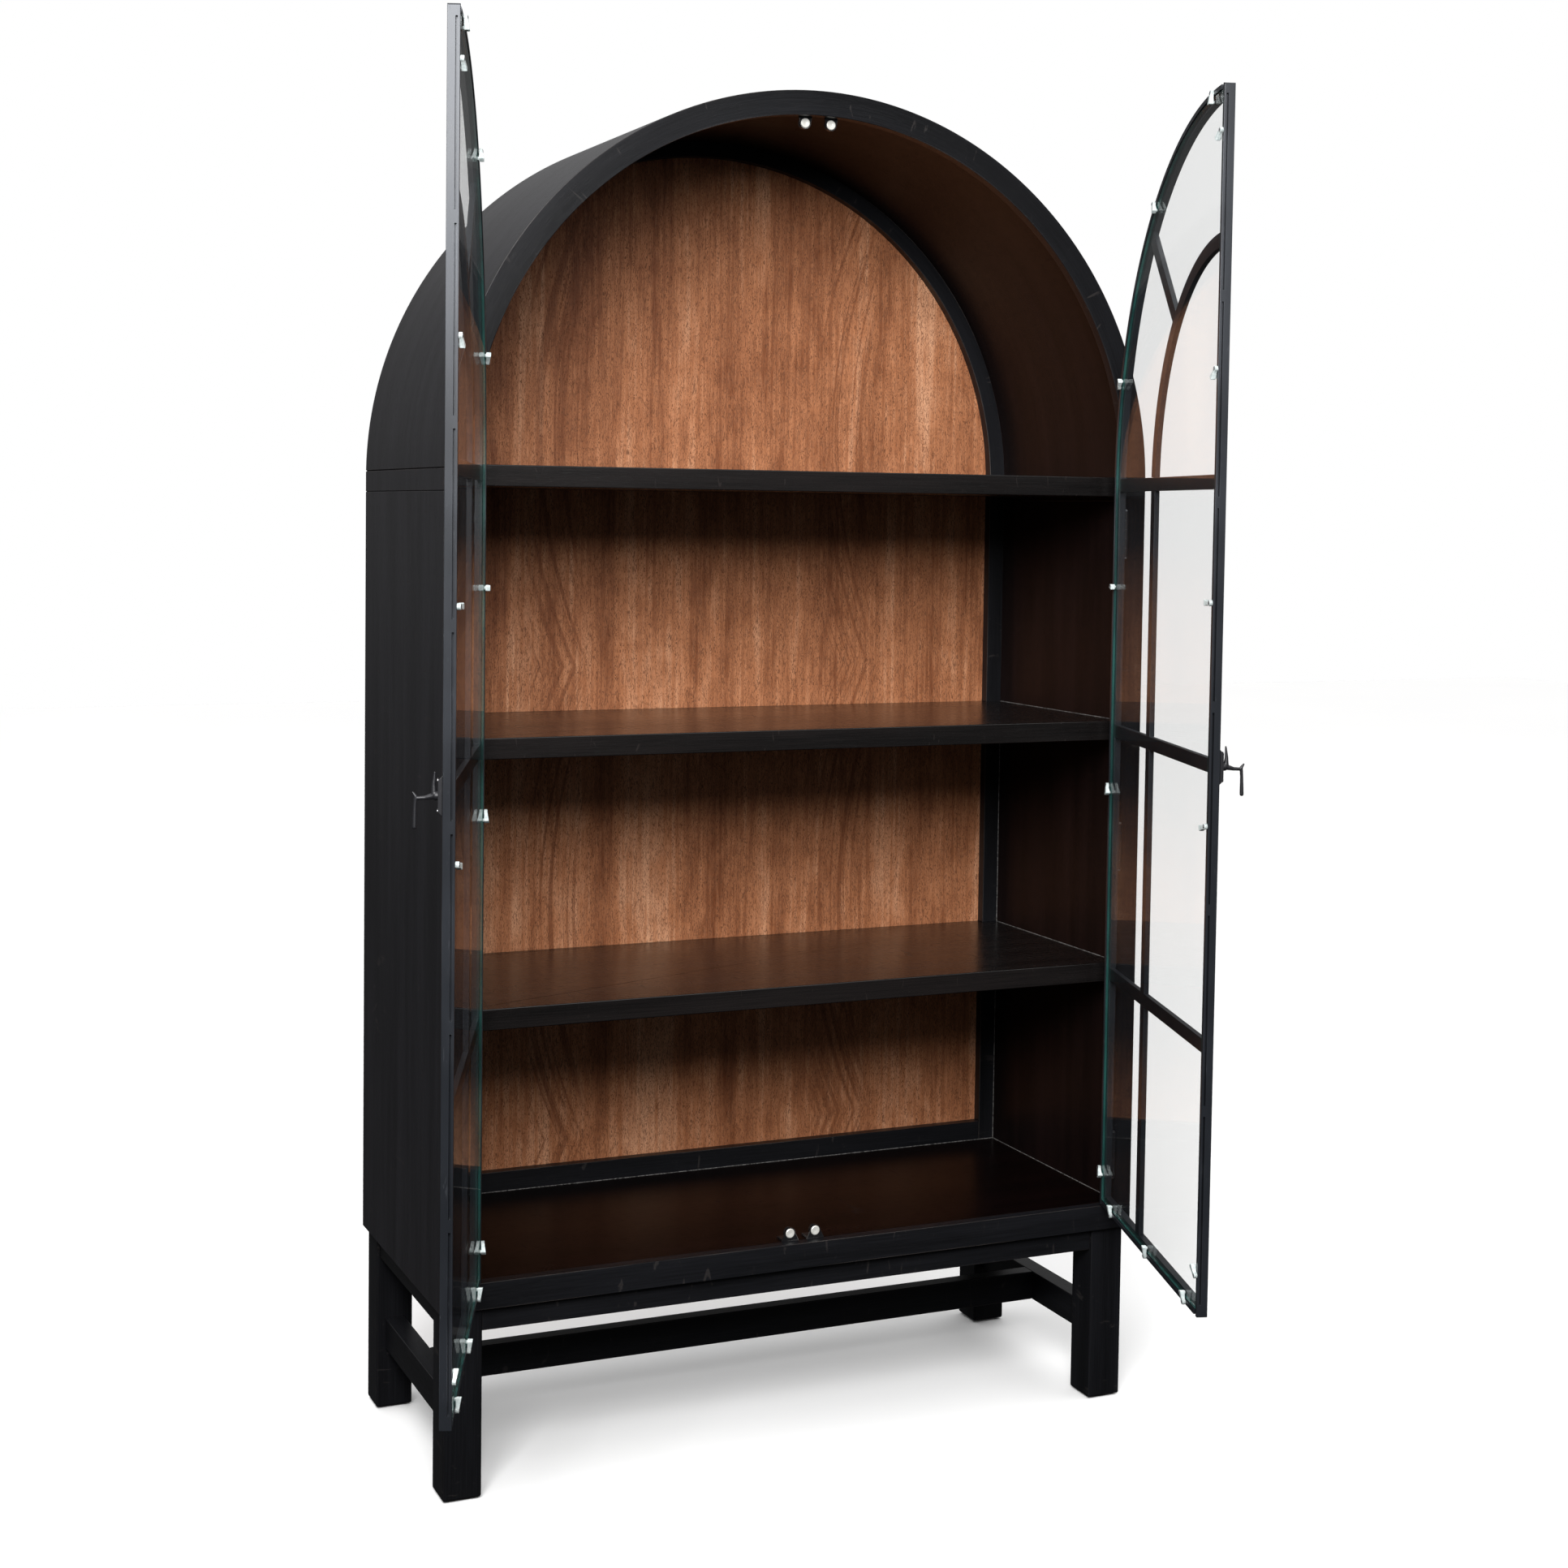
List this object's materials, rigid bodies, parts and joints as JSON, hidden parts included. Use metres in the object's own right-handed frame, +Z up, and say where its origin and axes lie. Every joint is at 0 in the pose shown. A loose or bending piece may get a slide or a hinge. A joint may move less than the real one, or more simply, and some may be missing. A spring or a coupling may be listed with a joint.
{
  "type": "arched display cabinet",
  "caption": "Tall round-topped curio cabinet on a four-legged stretcher stand, with shelves and two hinged, glazed steel doors.",
  "frame": {"origin": "on the floor, under the middle of the cabinet body", "axes": "+X to the right seen from the front, +Y to the back, +Z up; the doors are drawn open, as they rest"},
  "size_m": [1.3844, 1.0118, 2.14],
  "materials": {
    "body_wood": "charcoal stain, satin lacquer over the grain",
    "face_wood": "black stain, satin lacquer",
    "shelf_wood": "black stain, semi-gloss lacquer",
    "back_wood": "brown oiled veneer with an upright ribbon figure",
    "back_frame_wood": "black-brown stain, satin",
    "stand_wood": "charcoal stain, satin lacquer",
    "raw_wood": "unfinished softwood",
    "door_frame_steel": "charcoal powder coat, satin",
    "glazing_bar_steel": "charcoal powder coat, satin",
    "glass": "clear float glass",
    "clip_plastic": "translucent moulded plastic",
    "screw_steel": "zinc-plated screws",
    "handle_iron": "black powder coat",
    "hinge_metal": "black powder coat",
    "pin_steel": "plain steel pin",
    "catch_metal": "black painted pressed steel",
    "magnet": "nickel-plated magnet",
    "glide_plastic": "black moulded plastic"
  },
  "bodies": {
    "cabinet": {"left_side_panel": "body_wood", "right_side_panel": "body_wood", "arch_shell": "body_wood", "face_arch": "face_wood", "face_left_stile": "face_wood", "face_right_stile": "face_wood", "face_bottom_rail": "face_wood", "spring_shelf": "shelf_wood", "middle_shelf": "shelf_wood", "lower_shelf": "shelf_wood", "bottom_board": "shelf_wood", "back_panel": "back_wood", "back_arch": "back_frame_wood", "back_stiles": "back_frame_wood", "back_bottom_rail": "back_frame_wood", "front_left_leg": "stand_wood", "front_right_leg": "stand_wood", "back_left_leg": "stand_wood", "back_right_leg": "stand_wood", "front_apron": "stand_wood", "back_apron": "stand_wood", "side_aprons": "stand_wood", "left_stretcher": "stand_wood", "right_stretcher": "stand_wood", "long_stretcher": "stand_wood", "corner_blocks": "raw_wood", "foot_glides": "glide_plastic", "catch_brackets": "catch_metal", "catch_magnets": "magnet", "frame_hinge_leaves": "hinge_metal", "hinge_pins": "pin_steel", "frame_hinge_screws": "screw_steel"},
    "left_door": {"left_door_meeting_stile": "door_frame_steel", "left_door_hinge_stile": "door_frame_steel", "left_door_arch_rail": "door_frame_steel", "left_door_bottom_rail": "door_frame_steel", "left_door_cross_bars": "glazing_bar_steel", "left_door_upright_bars": "glazing_bar_steel", "left_door_arch_bar": "glazing_bar_steel", "left_door_spoke": "glazing_bar_steel", "left_door_glass": "glass", "left_door_glass_clips": "clip_plastic", "left_door_screws": "screw_steel", "left_door_hinge_leaves": "hinge_metal", "left_door_handle_plate": "handle_iron", "left_door_handle_lever": "handle_iron"},
    "right_door": {"right_door_meeting_stile": "door_frame_steel", "right_door_hinge_stile": "door_frame_steel", "right_door_arch_rail": "door_frame_steel", "right_door_bottom_rail": "door_frame_steel", "right_door_cross_bars": "glazing_bar_steel", "right_door_upright_bars": "glazing_bar_steel", "right_door_arch_bar": "glazing_bar_steel", "right_door_spoke": "glazing_bar_steel", "right_door_glass": "glass", "right_door_glass_clips": "clip_plastic", "right_door_screws": "screw_steel", "right_door_hinge_leaves": "hinge_metal", "right_door_handle_plate": "handle_iron", "right_door_handle_lever": "handle_iron"}
  },
  "joints": [
    {"name": "left_door_hinge", "type": "hinge", "parent": "cabinet", "child": "left_door", "pos_m": [-0.5605, -0.2395, 0.94], "axis": [0, 0, -1], "range_deg": [-110.5, 59.5]},
    {"name": "right_door_hinge", "type": "hinge", "parent": "cabinet", "child": "right_door", "pos_m": [0.5605, -0.2395, 0.94], "axis": [0, 0, 1], "range_deg": [-72.5, 97.5]}
  ]
}
